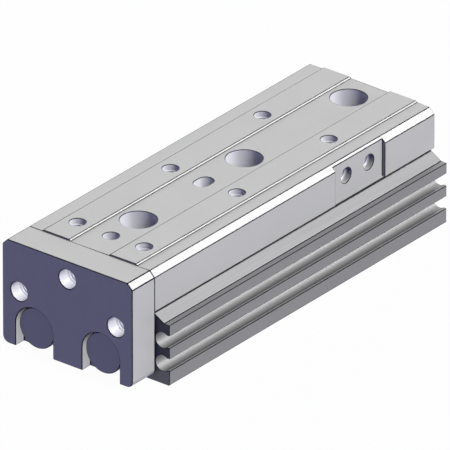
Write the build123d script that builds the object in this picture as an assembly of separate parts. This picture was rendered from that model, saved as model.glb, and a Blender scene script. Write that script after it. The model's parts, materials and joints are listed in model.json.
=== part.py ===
"""Compact pneumatic slide table with two air cylinders and a cross-roller guide.

Lengths are millimetres. The model is drawn with Y = 0 on the front face of the end plate, +Y towards
the rear, X across and Z up from the mounting face, and each piece is written with the origin under the
middle of the whole object.
"""

import os
from math import cos, radians, sin, sqrt
from typing import NamedTuple

from build123d import *


class Screw(NamedTuple):
    """Sizes of one kind of socket head screw; its length is measured under the head."""

    thread: float
    head: float
    head_height: float
    length: float


# Driving sizes of the table and its top face
stroke = 50.0
table_width = 39.0
table_web = 6.9
table_overhang = 0.4
edge_chamfer = 1.5
skirt_gap = 0.6
skirt_thickness = 3.5
pad_height = 0.4
pad_width = 8.5

# Holes in the table's top face, placed from its front end
load_hole = 4.0
load_hole_depth = 6.2
load_row_spacing = 20.0
load_hole_pitch = 35.0
load_hole_first = 8.0
load_hole_end = 6.0
access_hole = 9.0
access_pitch = 40.0
access_first = 18.4
access_end = 7.0
pin_hole = 4.0
pin_hole_depth = 5.0
pin_slot_length = 5.5

# Milled flat with two tapped holes on the table's right side
side_flat_depth = 0.9
side_flat_length = 19.0
side_hole = 4.0
side_hole_pitch = 8.7
side_hole_depth = 6.0
side_hole_drop = 4.75

# End plate
plate_thickness = 8.4
plate_bottom = 1.65
plate_foot_radius = 1.8
plate_hole = 5.0
plate_hole_drop = 4.75
plate_side_hole_inset = 5.0
plate_side_hole_drop = 12.75
slot_wide = 11.2
slot_narrow = 7.5
slot_front_depth = 3.1
slot_rear_depth = 3.0

# Body
body_gap = 0.5
body_width = 47.0
body_top = 18.0
ledge_width = 1.55
ledge_drop = 1.95
shoulder_cover = 0.85
body_edge = 0.3
sensor_groove = 4.1
sensor_mouth = 3.2
sensor_groove_inset = 2.1
sensor_groove_low = 5.5
sensor_groove_pitch = 6.1
mount_hole = 4.3
mount_thread = 5.0
mount_thread_depth = 8.0
mount_counterbore = 8.0
mount_counterbore_depth = 4.5
foot_pin_hole = 3.0
foot_pin_depth = 4.0
foot_slot_length = 4.0
port_thread = 5.0
port_depth = 5.0
air_passage = 2.0

# Cylinders
bore = 12.0
cylinder_spacing = 20.0
cylinder_height = 7.65
bore_land = 2.25
bore_chamfer = 0.4
rod_diameter = 6.0
rod_cover_length = 18.0
head_cap_length = 10.0
piston_length = 16.0
bumper_length = 2.5
bumper_radial_gap = 1.25
bumper_rod_gap = 0.3125
end_play = 0.1

# Retaining rings
ring_width = 1.0
ring_groove_depth = 0.45
ring_radial = 1.5
ring_gap_angle = 46.0
ring_lug_radius = 1.0
ring_lug_hole = 0.9
ring_lug_inset_angle = 5.75

# Seal grooves in the rod covers, head caps and pistons
rod_seal_offset = 3.0
rod_seal_width = 3.0
rod_seal_radial = 1.6
static_seal_offset = 3.5
static_seal_width = 1.6
static_seal_radial = 1.1
wear_ring_offset = 1.2
wear_ring_width = 2.0
wear_ring_radial = 0.8
piston_seal_offset = 5.0
piston_seal_width = 2.4
piston_seal_radial = 1.7
magnet_offset = 9.4
magnet_width = 3.5
magnet_radial = 1.9
magnet_recess = 0.3
split_gap = 0.5

# Floating rod ends
nut_float = 0.35
nut_disc_thickness = 2.1
stud = 4.0
stud_engagement = 3.5
collar_float = 0.6
collar_recess = 0.4

# Cross-roller guide
guide_gap = 0.6
web_gap = 0.2
roller_diameter = 2.0
roller_length = 1.9
roller_pitch = 4.0
groove_relief = 0.4
groove_relief_depth = 0.15
centre_rail_height = 4.0
centre_rail_front = 1.9
centre_rail_rear = 1.0
table_rail_width = 6.15
table_rail_front = 0.6
table_rail_rear = 2.0
table_rail_side_gap = 0.05
rail_edge = 0.2
cage_thickness = 0.4
cage_edge_gap = 0.25
cage_end_land = 0.5
stop_thickness = 1.0
stop_margin = 0.1

# Screws and the holes that take them
rail_screw = Screw(thread=3.0, head=5.5, head_height=2.0, length=8.0)
rail_screw_margin = 5.2
table_rail_screw = Screw(thread=2.5, head=4.2, head_height=1.4, length=5.0)
table_rail_screw_inset = 2.55
table_rail_screw_margin = 5.2
plate_screw = Screw(thread=2.5, head=4.5, head_height=2.5, length=8.0)
plate_screw_spacing = 10.0
plate_screw_rise = 2.6
plate_screw_wall = 3.5
plate_screw_pocket = 10.0
stop_screw = Screw(thread=2.0, head=3.4, head_height=0.6, length=3.0)
stop_screw_spacing = 12.0
head_clearance = 0.1
hole_clearance = 0.1
socket_share = 0.5
tapping_depth = 1.0
fine_tapping_depth = 0.5

# Fits, all radial or per side
thread_fit = 0.02
press_seat = 0.02
sliding_fit = 0.05
seal_fit = 0.03
roller_fit = 0.01
piston_fit = 0.1
window_fit = 0.06
cage_play = 0.2

# How far a cutting shape reaches past the face that it opens
overrun = 1.0

# Lengths that follow from the stroke and the cylinder parts
cylinder_stack = (2 * ring_width + rod_cover_length + 2 * bumper_length + 2 * end_play
                  + stroke + piston_length + head_cap_length)
body_length = cylinder_stack + 2 * bore_land
table_front = plate_thickness
body_front = plate_thickness + body_gap
body_rear = body_front + body_length
table_rear = body_rear + table_overhang
overall_length = table_rear
table_length = table_rear - table_front
front_ring_start = body_front + bore_land
cover_start = front_ring_start + ring_width
cover_end = cover_start + rod_cover_length
piston_start = cover_end + bumper_length + end_play + stroke
piston_end = piston_start + piston_length
cap_start = piston_end + end_play + bumper_length
cap_end = cap_start + head_cap_length
front_port = cover_end + bumper_length / 2
rear_port = cap_start - bumper_length / 2

# Heights, from the body's top upwards
web_bottom = body_top + centre_rail_height + web_gap
table_top = web_bottom + table_web
skirt_bottom = body_top + skirt_gap
guide_height = (body_top + web_bottom) / 2
cage_height = web_bottom - body_top - 2 * cage_edge_gap
side_hole_height = table_top - side_hole_drop
plate_hole_height = table_top - plate_hole_drop
plate_side_hole_height = table_top - plate_side_hole_drop
plate_screw_height = web_bottom + plate_screw_rise

# Places that several pieces share
bore_radius = bore / 2
rod_radius = rod_diameter / 2
seat_radius = bore_radius - press_seat
slot_rear_start = plate_thickness - slot_rear_depth
collar_start = slot_rear_start + end_play
collar_length = slot_rear_depth - end_play - collar_recess
rod_shoulder = collar_start + collar_length
access_count = int((table_length - access_first - access_end) / access_pitch) + 1
access_holes = [table_front + access_first + access_pitch * i for i in range(access_count)]
load_row_count = int((table_length - load_hole_first - load_hole_end) / load_hole_pitch) + 1
load_rows = [table_front + load_hole_first + load_hole_pitch * i for i in range(load_row_count)]
side_flat_middle = load_rows[-1]
side_holes = [side_flat_middle + side * side_hole_pitch / 2 for side in (-1, 1)]
between_access = [y + access_pitch / 2 for y in access_holes[:-1]]

# Cross-roller guide geometry
roller_channel = roller_diameter + 2 * roller_fit
groove_mouth = roller_channel / sqrt(2) - guide_gap / 2
table_rail_outer = table_width / 2 - skirt_thickness - table_rail_side_gap
table_rail_inner = table_rail_outer - table_rail_width
table_rail_screw_line = 2 * (table_rail_outer - table_rail_screw_inset)
guide_line = table_rail_inner - guide_gap / 2
centre_rail_side = guide_line - guide_gap / 2
rail_start = body_front + centre_rail_front
rail_end = body_rear - centre_rail_rear
rail_screws_at = [rail_start + rail_screw_margin] + between_access
table_rail_start = table_front + table_rail_front
table_rail_end = table_rear - table_rail_rear
table_rail_screws_at = [y + load_hole_pitch / 2 for y in load_rows
                        if y + load_hole_pitch / 2 < table_rail_end - table_rail_screw_margin]
cage_start = rail_start + cage_play + stroke / 2
cage_length = table_rail_end - stroke - rail_start - 2 * cage_play
cage_window = roller_diameter + 2 * window_fit
window_height = (roller_diameter + roller_length) / sqrt(2) + 2 * window_fit
roller_count = int((cage_length - cage_window - 2 * cage_end_land) / roller_pitch) + 1
first_roller = cage_start + (cage_length - (roller_count - 1) * roller_pitch) / 2
rollers_at = [first_roller + roller_pitch * i for i in range(roller_count)]


def prism(points, start, end):
    """Solid with the given (x, z) outline between two places along Y."""
    outline = Polyline(*[(x, 0, z) for x, z in points], close=True)
    return Pos(0, start, 0) * extrude(make_face(outline), amount=end - start, dir=(0, 1, 0))


def turned(points, x=0, z=0):
    """Solid of revolution about a line along Y, from (radius, y) points."""
    outline = Polyline(*[(r, y, 0) for r, y in points], close=True)
    return Pos(x, 0, z) * revolve(make_face(outline), Axis.Y)


def along_y(radius, start, end, x=0, z=0):
    """Round bar along Y."""
    return Pos(x, (start + end) / 2, z) * Rot(90, 0, 0) * Cylinder(radius, end - start)


def along_x(radius, start, end, y=0, z=0):
    """Round bar along X."""
    return Pos((start + end) / 2, y, z) * Rot(0, 90, 0) * Cylinder(radius, end - start)


def upright(radius, bottom, top, x=0, y=0):
    """Round bar along Z."""
    return Pos(x, y, (bottom + top) / 2) * Cylinder(radius, top - bottom)


def block(x_range, y_range, z_range):
    """Rectangular block between three pairs of limits."""
    size = [high - low for low, high in (x_range, y_range, z_range)]
    middle = [(high + low) / 2 for low, high in (x_range, y_range, z_range)]
    return Pos(*middle) * Box(*size)


def long_hole(width, length, bottom, top, x=0, y=0):
    """Upright slotted plug, long along Y, with round ends."""
    reach = (length - width) / 2
    middle = block((x - width / 2, x + width / 2), (y - reach, y + reach), (bottom, top))
    ends = [upright(width / 2, bottom, top, x, y + side * reach) for side in (-1, 1)]
    return middle + ends


def mirrored_outline(right_half):
    """Closed outline from its right half, listed from the bottom centre line upwards."""
    return right_half + [(-x, z) for x, z in reversed(right_half)]


def split_slit(radius, start, end, x):
    """Thin block that cuts a ring open at its top."""
    return block((x - split_gap / 2, x + split_gap / 2), (start - overrun, end + overrun),
                 (cylinder_height, cylinder_height + radius + overrun))


def cap_screw(kind, location):
    """Socket head screw, pointing along -Z from the underside of its head at the location."""
    socket_depth = kind.head_height * socket_share
    screw = upright(kind.head / 2, 0, kind.head_height) + upright(kind.thread / 2, -kind.length, 0)
    socket = extrude(RegularPolygon(kind.head * socket_share / 2, 6), amount=socket_depth)
    return location * (screw - Pos(0, 0, kind.head_height - socket_depth) * socket)


def open_slot(width, start, end, x):
    """Slot in the end plate: round at the rod axis and open downwards."""
    drop = block((x - width / 2, x + width / 2), (start, end), (plate_bottom - overrun, cylinder_height))
    return drop + along_y(width / 2, start, end, x, cylinder_height)


def vee_points(face_x, inwards):
    """Outline of one 90 degree roller groove with a root relief, from low to high."""
    half_relief = groove_relief / 2
    flank = face_x + inwards * (groove_mouth - half_relief)
    root = flank + inwards * groove_relief_depth
    return [(face_x, guide_height - groove_mouth), (flank, guide_height - half_relief),
            (root, guide_height - half_relief), (root, guide_height + half_relief),
            (flank, guide_height + half_relief), (face_x, guide_height + groove_mouth)]


def make_body():
    """Extruded body with two bores, two sensor grooves, ports and mounting holes."""
    half = body_width / 2
    ledge_height = body_top - ledge_drop
    outline = mirrored_outline([
        (half - body_edge, 0), (half, body_edge), (half, ledge_height), (half - ledge_width, ledge_height),
        (table_width / 2 - shoulder_cover, body_top)])
    body = prism(outline, body_front, body_rear)
    cuts = []
    x = half - sensor_groove_inset
    start, end = body_front - overrun, body_rear + overrun
    for z in (sensor_groove_low, sensor_groove_low + sensor_groove_pitch):
        cuts.append(along_y(sensor_groove / 2, start, end, x, z))
        cuts.append(block((x, half + overrun), (start, end), (z - sensor_mouth / 2, z + sensor_mouth / 2)))
    for side in (-1, 1):
        cuts.append(turned(bore_outline(), side * cylinder_spacing / 2, cylinder_height))
    for y in (front_port, rear_port):
        cuts.append(along_x(port_thread / 2, -half - overrun, port_depth - half, y, cylinder_height))
        cuts.append(along_x(air_passage / 2, -half, cylinder_spacing / 2, y, cylinder_height))
    top = body_top + overrun
    for y in access_holes:
        cuts.append(upright(mount_hole / 2, -overrun, top, 0, y))
        cuts.append(upright(mount_thread / 2, -overrun, mount_thread_depth, 0, y))
        cuts.append(upright(mount_counterbore / 2, body_top - mount_counterbore_depth, top, 0, y))
    rail_screw_reach = body_top - rail_screw_depth() - tapping_depth
    for y in rail_screws_at:
        cuts.append(upright(rail_screw.thread / 2 + thread_fit, rail_screw_reach, top, 0, y))
    cuts.append(upright(foot_pin_hole / 2, -overrun, foot_pin_depth, 0, between_access[0]))
    cuts.append(long_hole(foot_pin_hole, foot_slot_length, -overrun, foot_pin_depth, 0, between_access[-1]))
    return body - cuts


def bore_outline():
    """Section of one cylinder bore, with its ring grooves and mouth chamfers."""
    groove = bore_radius + ring_groove_depth
    mouth = bore_radius + bore_chamfer
    front_ring_end = front_ring_start + ring_width
    rear_ring_end = cap_end + ring_width
    start, end = body_front - overrun, body_rear + overrun
    return [(0, start), (mouth, start), (mouth, body_front),
            (bore_radius, body_front + bore_chamfer), (bore_radius, front_ring_start),
            (groove, front_ring_start), (groove, front_ring_end), (bore_radius, front_ring_end),
            (bore_radius, cap_end), (groove, cap_end), (groove, rear_ring_end), (bore_radius, rear_ring_end),
            (bore_radius, body_rear - bore_chamfer), (mouth, body_rear), (mouth, end), (0, end)]


def rail_screw_depth():
    """Length of a centre rail screw below the body's top face."""
    return rail_screw.length - (centre_rail_height - rail_screw.head_height - head_clearance)


def make_centre_rail():
    """Hardened rail on the body with a roller groove down each side and three access holes."""
    top = body_top + centre_rail_height
    side = centre_rail_side
    outline = mirrored_outline([(side, body_top)] + vee_points(side, -1)
                               + [(side, top - rail_edge), (side - rail_edge, top)])
    rail = prism(outline, rail_start, rail_end)
    seat = top - rail_screw.head_height - head_clearance
    cuts = [upright(access_hole / 2, body_top - overrun, top + overrun, 0, y) for y in access_holes]
    for y in rail_screws_at:
        cuts.append(upright(rail_screw.thread / 2 + hole_clearance, body_top - overrun, top, 0, y))
        cuts.append(upright(rail_screw.head / 2 + head_clearance, seat, top + overrun, 0, y))
    for side in (-1, 1):
        x = side * stop_screw_spacing / 2
        end = rail_start + stop_screw.length - stop_thickness + fine_tapping_depth
        cuts.append(along_y(stop_screw.thread / 2 + thread_fit, rail_start - overrun, end, x, guide_height))
    return rail - cuts


def make_centre_rail_screws():
    """Low-head screws that hold the centre rail down."""
    seat = body_top + centre_rail_height - rail_screw.head_height - head_clearance
    return [cap_screw(rail_screw, Pos(0, y, seat)) for y in rail_screws_at]


def make_front_cage_stop():
    """Plate on the front end of the centre rail that keeps both roller cages in."""
    half = table_rail_inner - stop_margin
    low = guide_height - cage_height / 2 + stop_margin
    high = guide_height + cage_height / 2 - stop_margin
    plate = block((-half, half), (rail_start - stop_thickness, rail_start), (low, high))
    holes = [along_y(stop_screw.thread / 2 + hole_clearance, rail_start - stop_thickness - overrun,
                     rail_start + overrun, side * stop_screw_spacing / 2, guide_height)
             for side in (-1, 1)]
    return plate - holes


def make_front_stop_screws():
    """Two small screws through the front cage stop."""
    turn = Rot(90, 0, 0)
    return [cap_screw(stop_screw, Pos(side * stop_screw_spacing / 2, rail_start - stop_thickness,
                                      guide_height) * turn) for side in (-1, 1)]


def make_table():
    """Aluminium table: top web with raised pads, side skirts, and every hole of its top and side."""
    half = table_width / 2
    pad_outer = load_row_spacing / 2 + pad_width / 2
    pad_inner = load_row_spacing / 2 - pad_width / 2
    pad_top = table_top + pad_height
    right_half = [
        (half - skirt_thickness, web_bottom), (half - skirt_thickness, skirt_bottom),
        (half, skirt_bottom), (half, table_top - edge_chamfer), (half - edge_chamfer, table_top),
        (pad_outer, table_top), (pad_outer - pad_height, pad_top),
        (pad_inner + pad_height, pad_top), (pad_inner, table_top)]
    table = prism(mirrored_outline(right_half), table_front, table_rear)
    cuts = []
    for y in load_rows:
        for side in (-1, 1):
            cuts.append(upright(load_hole / 2, pad_top - load_hole_depth, pad_top + overrun,
                                side * load_row_spacing / 2, y))
    for y in access_holes:
        cuts.append(upright(access_hole / 2, web_bottom - overrun, table_top + overrun, 0, y))
    pin_floor = table_top - pin_hole_depth
    cuts.append(upright(pin_hole / 2, pin_floor, table_top + overrun, 0, load_rows[0]))
    cuts.append(long_hole(pin_hole, pin_slot_length, pin_floor, table_top + overrun, 0, load_rows[1]))
    cuts += side_flat_cuts()
    cuts += plate_screw_cuts()
    for y in table_rail_screws_at:
        for side in (-1, 1):
            cuts.append(upright(table_rail_screw.thread / 2 + thread_fit, web_bottom - overrun,
                                web_bottom + table_rail_screw_grip() + fine_tapping_depth,
                                side * table_rail_screw_line / 2, y))
    return table - cuts


def side_flat_cuts():
    """Milled flat on the right side of the table and its two tapped holes."""
    half = table_width / 2
    floor = half - side_flat_depth
    ends = (side_flat_middle - side_flat_length / 2, side_flat_middle + side_flat_length / 2)
    flat = block((floor, half + overrun), ends, (skirt_bottom - overrun, table_top + overrun))
    holes = [along_x(side_hole / 2, floor - side_hole_depth, half + overrun, y, side_hole_height)
             for y in side_holes]
    return [flat] + holes


def plate_screw_cuts():
    """Pockets under the table's web and holes through its front wall for the end plate's screws."""
    wall = table_front + plate_screw_wall
    reach = plate_screw.head / 2 + head_clearance
    shank_hole = plate_screw.thread / 2 + hole_clearance
    cuts = []
    for side in (-1, 1):
        x = side * plate_screw_spacing / 2
        cuts.append(block((x - reach, x + reach), (wall, wall + plate_screw_pocket),
                          (web_bottom - overrun, plate_screw_height)))
        cuts.append(along_y(reach, wall, wall + plate_screw_pocket, x, plate_screw_height))
        cuts.append(along_y(shank_hole, table_front - overrun, wall + overrun, x, plate_screw_height))
    return cuts


def table_rail_screw_grip():
    """Length of a table rail screw inside the table's web."""
    under_head = web_bottom - skirt_bottom - table_rail_screw.head_height - head_clearance
    return table_rail_screw.length - under_head


def make_end_plate():
    """End plate with three tapped holes and two stepped slots that take the floating rod ends."""
    half = table_width / 2
    outline = mirrored_outline([(half, plate_bottom), (half, table_top - edge_chamfer),
                                (half - edge_chamfer, table_top)])
    plate = prism(outline, 0, plate_thickness)
    feet = plate.edges().filter_by(Axis.Y).group_by(Axis.Z)[0]
    plate = fillet(feet, plate_foot_radius)
    front, rear = -overrun, plate_thickness + overrun
    cuts = [along_y(plate_hole / 2, front, rear, 0, plate_hole_height)]
    for side in (-1, 1):
        x = side * cylinder_spacing / 2
        cuts.append(along_y(plate_hole / 2, front, rear, side * (half - plate_side_hole_inset),
                            plate_side_hole_height))
        cuts.append(open_slot(slot_wide, front, slot_front_depth, x))
        cuts.append(open_slot(slot_narrow, slot_front_depth - overrun, slot_rear_start + overrun, x))
        cuts.append(open_slot(slot_wide, slot_rear_start, rear, x))
        screw_end = table_front - (plate_screw.length - plate_screw_wall) - fine_tapping_depth
        cuts.append(along_y(plate_screw.thread / 2 + thread_fit, screw_end, rear,
                            side * plate_screw_spacing / 2, plate_screw_height))
    return plate - cuts


def make_end_plate_screws():
    """Two cap screws that pull the end plate against the table's front end."""
    wall = table_front + plate_screw_wall
    turn = Rot(-90, 0, 0)
    return [cap_screw(plate_screw, Pos(side * plate_screw_spacing / 2, wall, plate_screw_height) * turn)
            for side in (-1, 1)]


def make_table_rail(side):
    """Hardened rail under the table with one roller groove and three counterbored holes."""
    low = skirt_bottom
    outline = [(table_rail_inner, web_bottom), (table_rail_outer, web_bottom),
               (table_rail_outer, low + rail_edge), (table_rail_outer - rail_edge, low),
               (table_rail_inner, low)] + vee_points(table_rail_inner, 1)
    rail = prism([(side * x, z) for x, z in outline], table_rail_start, table_rail_end)
    x = side * table_rail_screw_line / 2
    seat = low + table_rail_screw.head_height + head_clearance
    cuts = []
    for y in table_rail_screws_at:
        cuts.append(upright(table_rail_screw.thread / 2 + hole_clearance, low, web_bottom + overrun, x, y))
        cuts.append(upright(table_rail_screw.head / 2 + head_clearance, low - overrun, seat, x, y))
    start = table_rail_end - (stop_screw.length - stop_thickness) - fine_tapping_depth
    cuts.append(along_y(stop_screw.thread / 2 + thread_fit, start, table_rail_end + overrun, x, guide_height))
    return rail - cuts


def make_table_rail_screws(side):
    """Screws that hold one table rail up against the web."""
    turn = Rot(180, 0, 0)
    seat = skirt_bottom + table_rail_screw.head_height + head_clearance
    return [cap_screw(table_rail_screw, Pos(side * table_rail_screw_line / 2, y, seat) * turn)
            for y in table_rail_screws_at]


def make_rear_cage_stop(side):
    """Tab on the rear end of a table rail that keeps its roller cage in."""
    ends = sorted(side * x for x in (centre_rail_side + stop_margin, table_rail_outer - stop_margin))
    low = skirt_bottom + stop_margin
    tab = block(ends, (table_rail_end, table_rail_end + stop_thickness), (low, web_bottom - stop_margin))
    hole = along_y(stop_screw.thread / 2 + hole_clearance, table_rail_end - overrun,
                   table_rail_end + stop_thickness + overrun, side * table_rail_screw_line / 2, guide_height)
    return tab - hole


def make_rear_stop_screw(side):
    """Small screw through a rear cage stop."""
    place = Pos(side * table_rail_screw_line / 2, table_rail_end + stop_thickness, guide_height)
    return cap_screw(stop_screw, place * Rot(-90, 0, 0))


def make_roller_cage(side):
    """Thin strip with one window for each roller."""
    x = side * guide_line
    half = cage_thickness / 2
    strip = block((x - half, x + half), (cage_start, cage_start + cage_length),
                  (guide_height - cage_height / 2, guide_height + cage_height / 2))
    windows = [Pos(x, y, guide_height) * Box(2 * cage_thickness, cage_window, window_height)
               for y in rollers_at]
    return strip - windows


def make_rollers(side):
    """Crossed rollers: each one lies across the next, 45 degrees up or down."""
    rollers = []
    for index, y in enumerate(rollers_at):
        tilt = 45 if index % 2 else -45
        rollers.append(Pos(side * guide_line, y, guide_height) * Rot(0, tilt, 0)
                       * Cylinder(roller_diameter / 2, roller_length))
    return rollers


def make_piston_rod(side):
    """Steel rod with a threaded stud in front and a spigot for the piston."""
    neck = stud / 2
    return turned([(0, rod_shoulder - collar_length - stud_engagement),
                   (neck, rod_shoulder - collar_length - stud_engagement), (neck, rod_shoulder),
                   (rod_radius, rod_shoulder), (rod_radius, piston_start), (neck, piston_start),
                   (neck, piston_end), (0, piston_end)], side * cylinder_spacing / 2, cylinder_height)


def make_piston(side):
    """Piston with grooves for the wear ring, the seal and the magnet."""
    outer = bore_radius - piston_fit
    outline = [(stud / 2 + thread_fit, piston_start), (outer, piston_start)]
    for offset, width, radial in ((wear_ring_offset, wear_ring_width, wear_ring_radial),
                                  (piston_seal_offset, piston_seal_width, piston_seal_radial),
                                  (magnet_offset, magnet_width, magnet_radial)):
        low = piston_start + offset
        outline += [(outer, low), (outer - radial, low), (outer - radial, low + width), (outer, low + width)]
    outline += [(outer, piston_end), (stud / 2 + thread_fit, piston_end)]
    return turned(outline, side * cylinder_spacing / 2, cylinder_height)


def ring_section(inner, outer, start, width):
    """Rectangular section of a ring."""
    end = start + width
    return [(inner, start), (outer, start), (outer, end), (inner, end)]


def seal_section(inner, outer, start, width):
    """Section of a seal that narrows to a single sealing line outside."""
    end = start + width
    shoulder = (inner + outer) / 2
    return [(inner, start), (shoulder, start), (outer, start + width / 2), (shoulder, end), (inner, end)]


def make_piston_seal(side):
    """Double-acting piston seal."""
    inner = bore_radius - piston_fit - piston_seal_radial + press_seat
    start = piston_start + piston_seal_offset + end_play
    section = seal_section(inner, bore_radius - seal_fit, start, piston_seal_width - 2 * end_play)
    return turned(section, side * cylinder_spacing / 2, cylinder_height)


def make_wear_ring(side):
    """Split plastic guide ring of the piston."""
    x = side * cylinder_spacing / 2
    start = piston_start + wear_ring_offset + press_seat
    inner = bore_radius - piston_fit - wear_ring_radial + press_seat
    ring = turned(ring_section(inner, bore_radius - sliding_fit, start, wear_ring_width - 2 * press_seat),
                  x, cylinder_height)
    return ring - split_slit(bore_radius, start, start + wear_ring_width, x)


def make_piston_magnet(side):
    """Split ring magnet that the sensors in the side grooves read."""
    x = side * cylinder_spacing / 2
    start = piston_start + magnet_offset + press_seat
    inner = bore_radius - piston_fit - magnet_radial + press_seat
    outer = bore_radius - piston_fit - magnet_recess
    ring = turned(ring_section(inner, outer, start, magnet_width - 2 * press_seat), x, cylinder_height)
    return ring - split_slit(bore_radius, start, start + magnet_width, x)


def static_groove(outer, start):
    """Outline points of an outside seal groove, from rear to front."""
    root = outer - static_seal_radial
    end = start + static_seal_width
    return [(outer, end), (root, end), (root, start), (outer, start)]


def make_rod_cover(side):
    """Rod cover that guides the rod and holds its seal."""
    inner = rod_radius + sliding_fit
    seal_root = rod_radius + rod_seal_radial
    seal_start = cover_start + rod_seal_offset
    seal_end = seal_start + rod_seal_width
    groove = cover_end - static_seal_offset - static_seal_width
    outline = [(inner, cover_start), (inner, seal_start), (seal_root, seal_start), (seal_root, seal_end),
               (inner, seal_end), (inner, cover_end), (seat_radius, cover_end)]
    outline += static_groove(seat_radius, groove)
    outline += [(seat_radius, cover_start)]
    return turned(outline, side * cylinder_spacing / 2, cylinder_height)


def make_rod_seal(side):
    """Lip seal with its open side towards the pressure."""
    inner = rod_radius + seal_fit
    outer = rod_radius + rod_seal_radial - press_seat
    start = cover_start + rod_seal_offset + end_play
    end = start + rod_seal_width - 2 * end_play
    middle = (inner + outer) / 2
    return turned([(inner, start), (outer, start), (outer, end), (middle, (start + end) / 2), (inner, end)],
                  side * cylinder_spacing / 2, cylinder_height)


def static_seal(outer, groove_start, side):
    """Stationary ring seal in an outside groove."""
    inner = outer - static_seal_radial + press_seat
    width = static_seal_width - 2 * end_play
    section = ring_section(inner, bore_radius - press_seat / 2, groove_start + end_play, width)
    return turned(section, side * cylinder_spacing / 2, cylinder_height)


def make_cover_seal(side):
    """Seal between rod cover and bore."""
    return static_seal(seat_radius, cover_end - static_seal_offset - static_seal_width, side)


def make_head_cap(side):
    """Plug that closes the rear of a bore."""
    outline = [(0, cap_start), (seat_radius, cap_start)]
    outline += list(reversed(static_groove(seat_radius, cap_start + static_seal_offset)))
    outline += [(seat_radius, cap_end), (0, cap_end)]
    return turned(outline, side * cylinder_spacing / 2, cylinder_height)


def make_head_cap_seal(side):
    """Seal between head cap and bore."""
    return static_seal(seat_radius, cap_start + static_seal_offset, side)


def make_bumper(side, start):
    """Rubber ring that softens one end of the stroke."""
    section = ring_section(rod_radius + bumper_rod_gap, bore_radius - bumper_radial_gap, start,
                           bumper_length)
    return turned(section, side * cylinder_spacing / 2, cylinder_height)


def make_retaining_ring(side, start):
    """Internal retaining ring: an open ring with two lugs and their plier holes."""
    outer = bore_radius + ring_groove_depth - sliding_fit
    inner = bore_radius - ring_radial + ring_groove_depth
    x = side * cylinder_spacing / 2
    end = start + ring_width
    cut_start, cut_end = start - overrun, end + overrun
    ring = along_y(outer, start, end) - along_y(inner, cut_start, cut_end)
    reach = 2 * outer
    half_gap = radians(ring_gap_angle / 2)
    wedge = prism([(0, 0), (-reach * sin(half_gap), -reach * cos(half_gap)),
                   (reach * sin(half_gap), -reach * cos(half_gap))], cut_start, cut_end)
    ring = ring - wedge
    lug_angle = radians(ring_gap_angle / 2 + ring_lug_inset_angle)
    lug_distance = inner - ring_lug_radius / 2
    for lug_side in (-1, 1):
        lug_x = lug_side * lug_distance * sin(lug_angle)
        lug_z = -lug_distance * cos(lug_angle)
        ring = ring + along_y(ring_lug_radius, start, end, lug_x, lug_z)
        ring = ring - along_y(ring_lug_hole / 2, cut_start, cut_end, lug_x, lug_z)
    return Pos(x, 0, cylinder_height) * ring


def make_floating_nut(side):
    """Disc and hub that hang in the end plate's slot and take the rod's stud."""
    hub_end = collar_start
    disc_end = slot_front_depth
    disc_start = disc_end - nut_disc_thickness
    hole = stud / 2 + thread_fit
    hole_end = hub_end - stud_engagement - end_play
    disc = slot_wide / 2 - nut_float
    hub = slot_narrow / 2 - nut_float
    return turned([(0, disc_start), (disc, disc_start), (disc, disc_end), (hub, disc_end), (hub, hub_end),
                   (hole, hub_end), (hole, hole_end), (0, hole_end)], side * cylinder_spacing / 2,
                  cylinder_height)


def make_thrust_collar(side):
    """Collar between the rod's shoulder and the floating nut."""
    section = ring_section(stud / 2 + thread_fit, slot_wide / 2 - collar_float, collar_start, collar_length)
    return turned(section, side * cylinder_spacing / 2, cylinder_height)


def build_nodes():
    """Every piece of the slide table by its name."""
    nodes = {
        "body": make_body(),
        "centre_rail": make_centre_rail(),
        "centre_rail_screws": make_centre_rail_screws(),
        "front_cage_stop": make_front_cage_stop(),
        "front_stop_screws": make_front_stop_screws(),
        "table": make_table(),
        "end_plate": make_end_plate(),
        "end_plate_screws": make_end_plate_screws(),
    }
    for name, side in (("left", -1), ("right", 1)):
        nodes[f"rod_cover_{name}"] = make_rod_cover(side)
        nodes[f"rod_seal_{name}"] = make_rod_seal(side)
        nodes[f"cover_seal_{name}"] = make_cover_seal(side)
        nodes[f"front_ring_{name}"] = make_retaining_ring(side, front_ring_start)
        nodes[f"rod_bumper_{name}"] = make_bumper(side, cover_end)
        nodes[f"head_bumper_{name}"] = make_bumper(side, cap_start - bumper_length)
        nodes[f"head_cap_{name}"] = make_head_cap(side)
        nodes[f"head_cap_seal_{name}"] = make_head_cap_seal(side)
        nodes[f"rear_ring_{name}"] = make_retaining_ring(side, cap_end)
        nodes[f"table_rail_{name}"] = make_table_rail(side)
        nodes[f"table_rail_screws_{name}"] = make_table_rail_screws(side)
        nodes[f"rear_cage_stop_{name}"] = make_rear_cage_stop(side)
        nodes[f"rear_stop_screw_{name}"] = make_rear_stop_screw(side)
        nodes[f"piston_rod_{name}"] = make_piston_rod(side)
        nodes[f"piston_{name}"] = make_piston(side)
        nodes[f"piston_seal_{name}"] = make_piston_seal(side)
        nodes[f"wear_ring_{name}"] = make_wear_ring(side)
        nodes[f"piston_magnet_{name}"] = make_piston_magnet(side)
        nodes[f"floating_nut_{name}"] = make_floating_nut(side)
        nodes[f"thrust_collar_{name}"] = make_thrust_collar(side)
        nodes[f"roller_cage_{name}"] = make_roller_cage(side)
        nodes[f"rollers_{name}"] = make_rollers(side)
    return nodes


def write_nodes(nodes):
    """Write one STEP file for each piece, with the origin under the middle of the object."""
    os.makedirs("parts", exist_ok=True)
    centre = Pos(0, -overall_length / 2, 0)
    for name, shape in nodes.items():
        solids = shape if isinstance(shape, list) else [shape]
        placed = Compound(children=[solid for piece in solids for solid in (centre * piece).solids()])
        export_step(placed, f"parts/{name}.step")


write_nodes(build_nodes())
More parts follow.
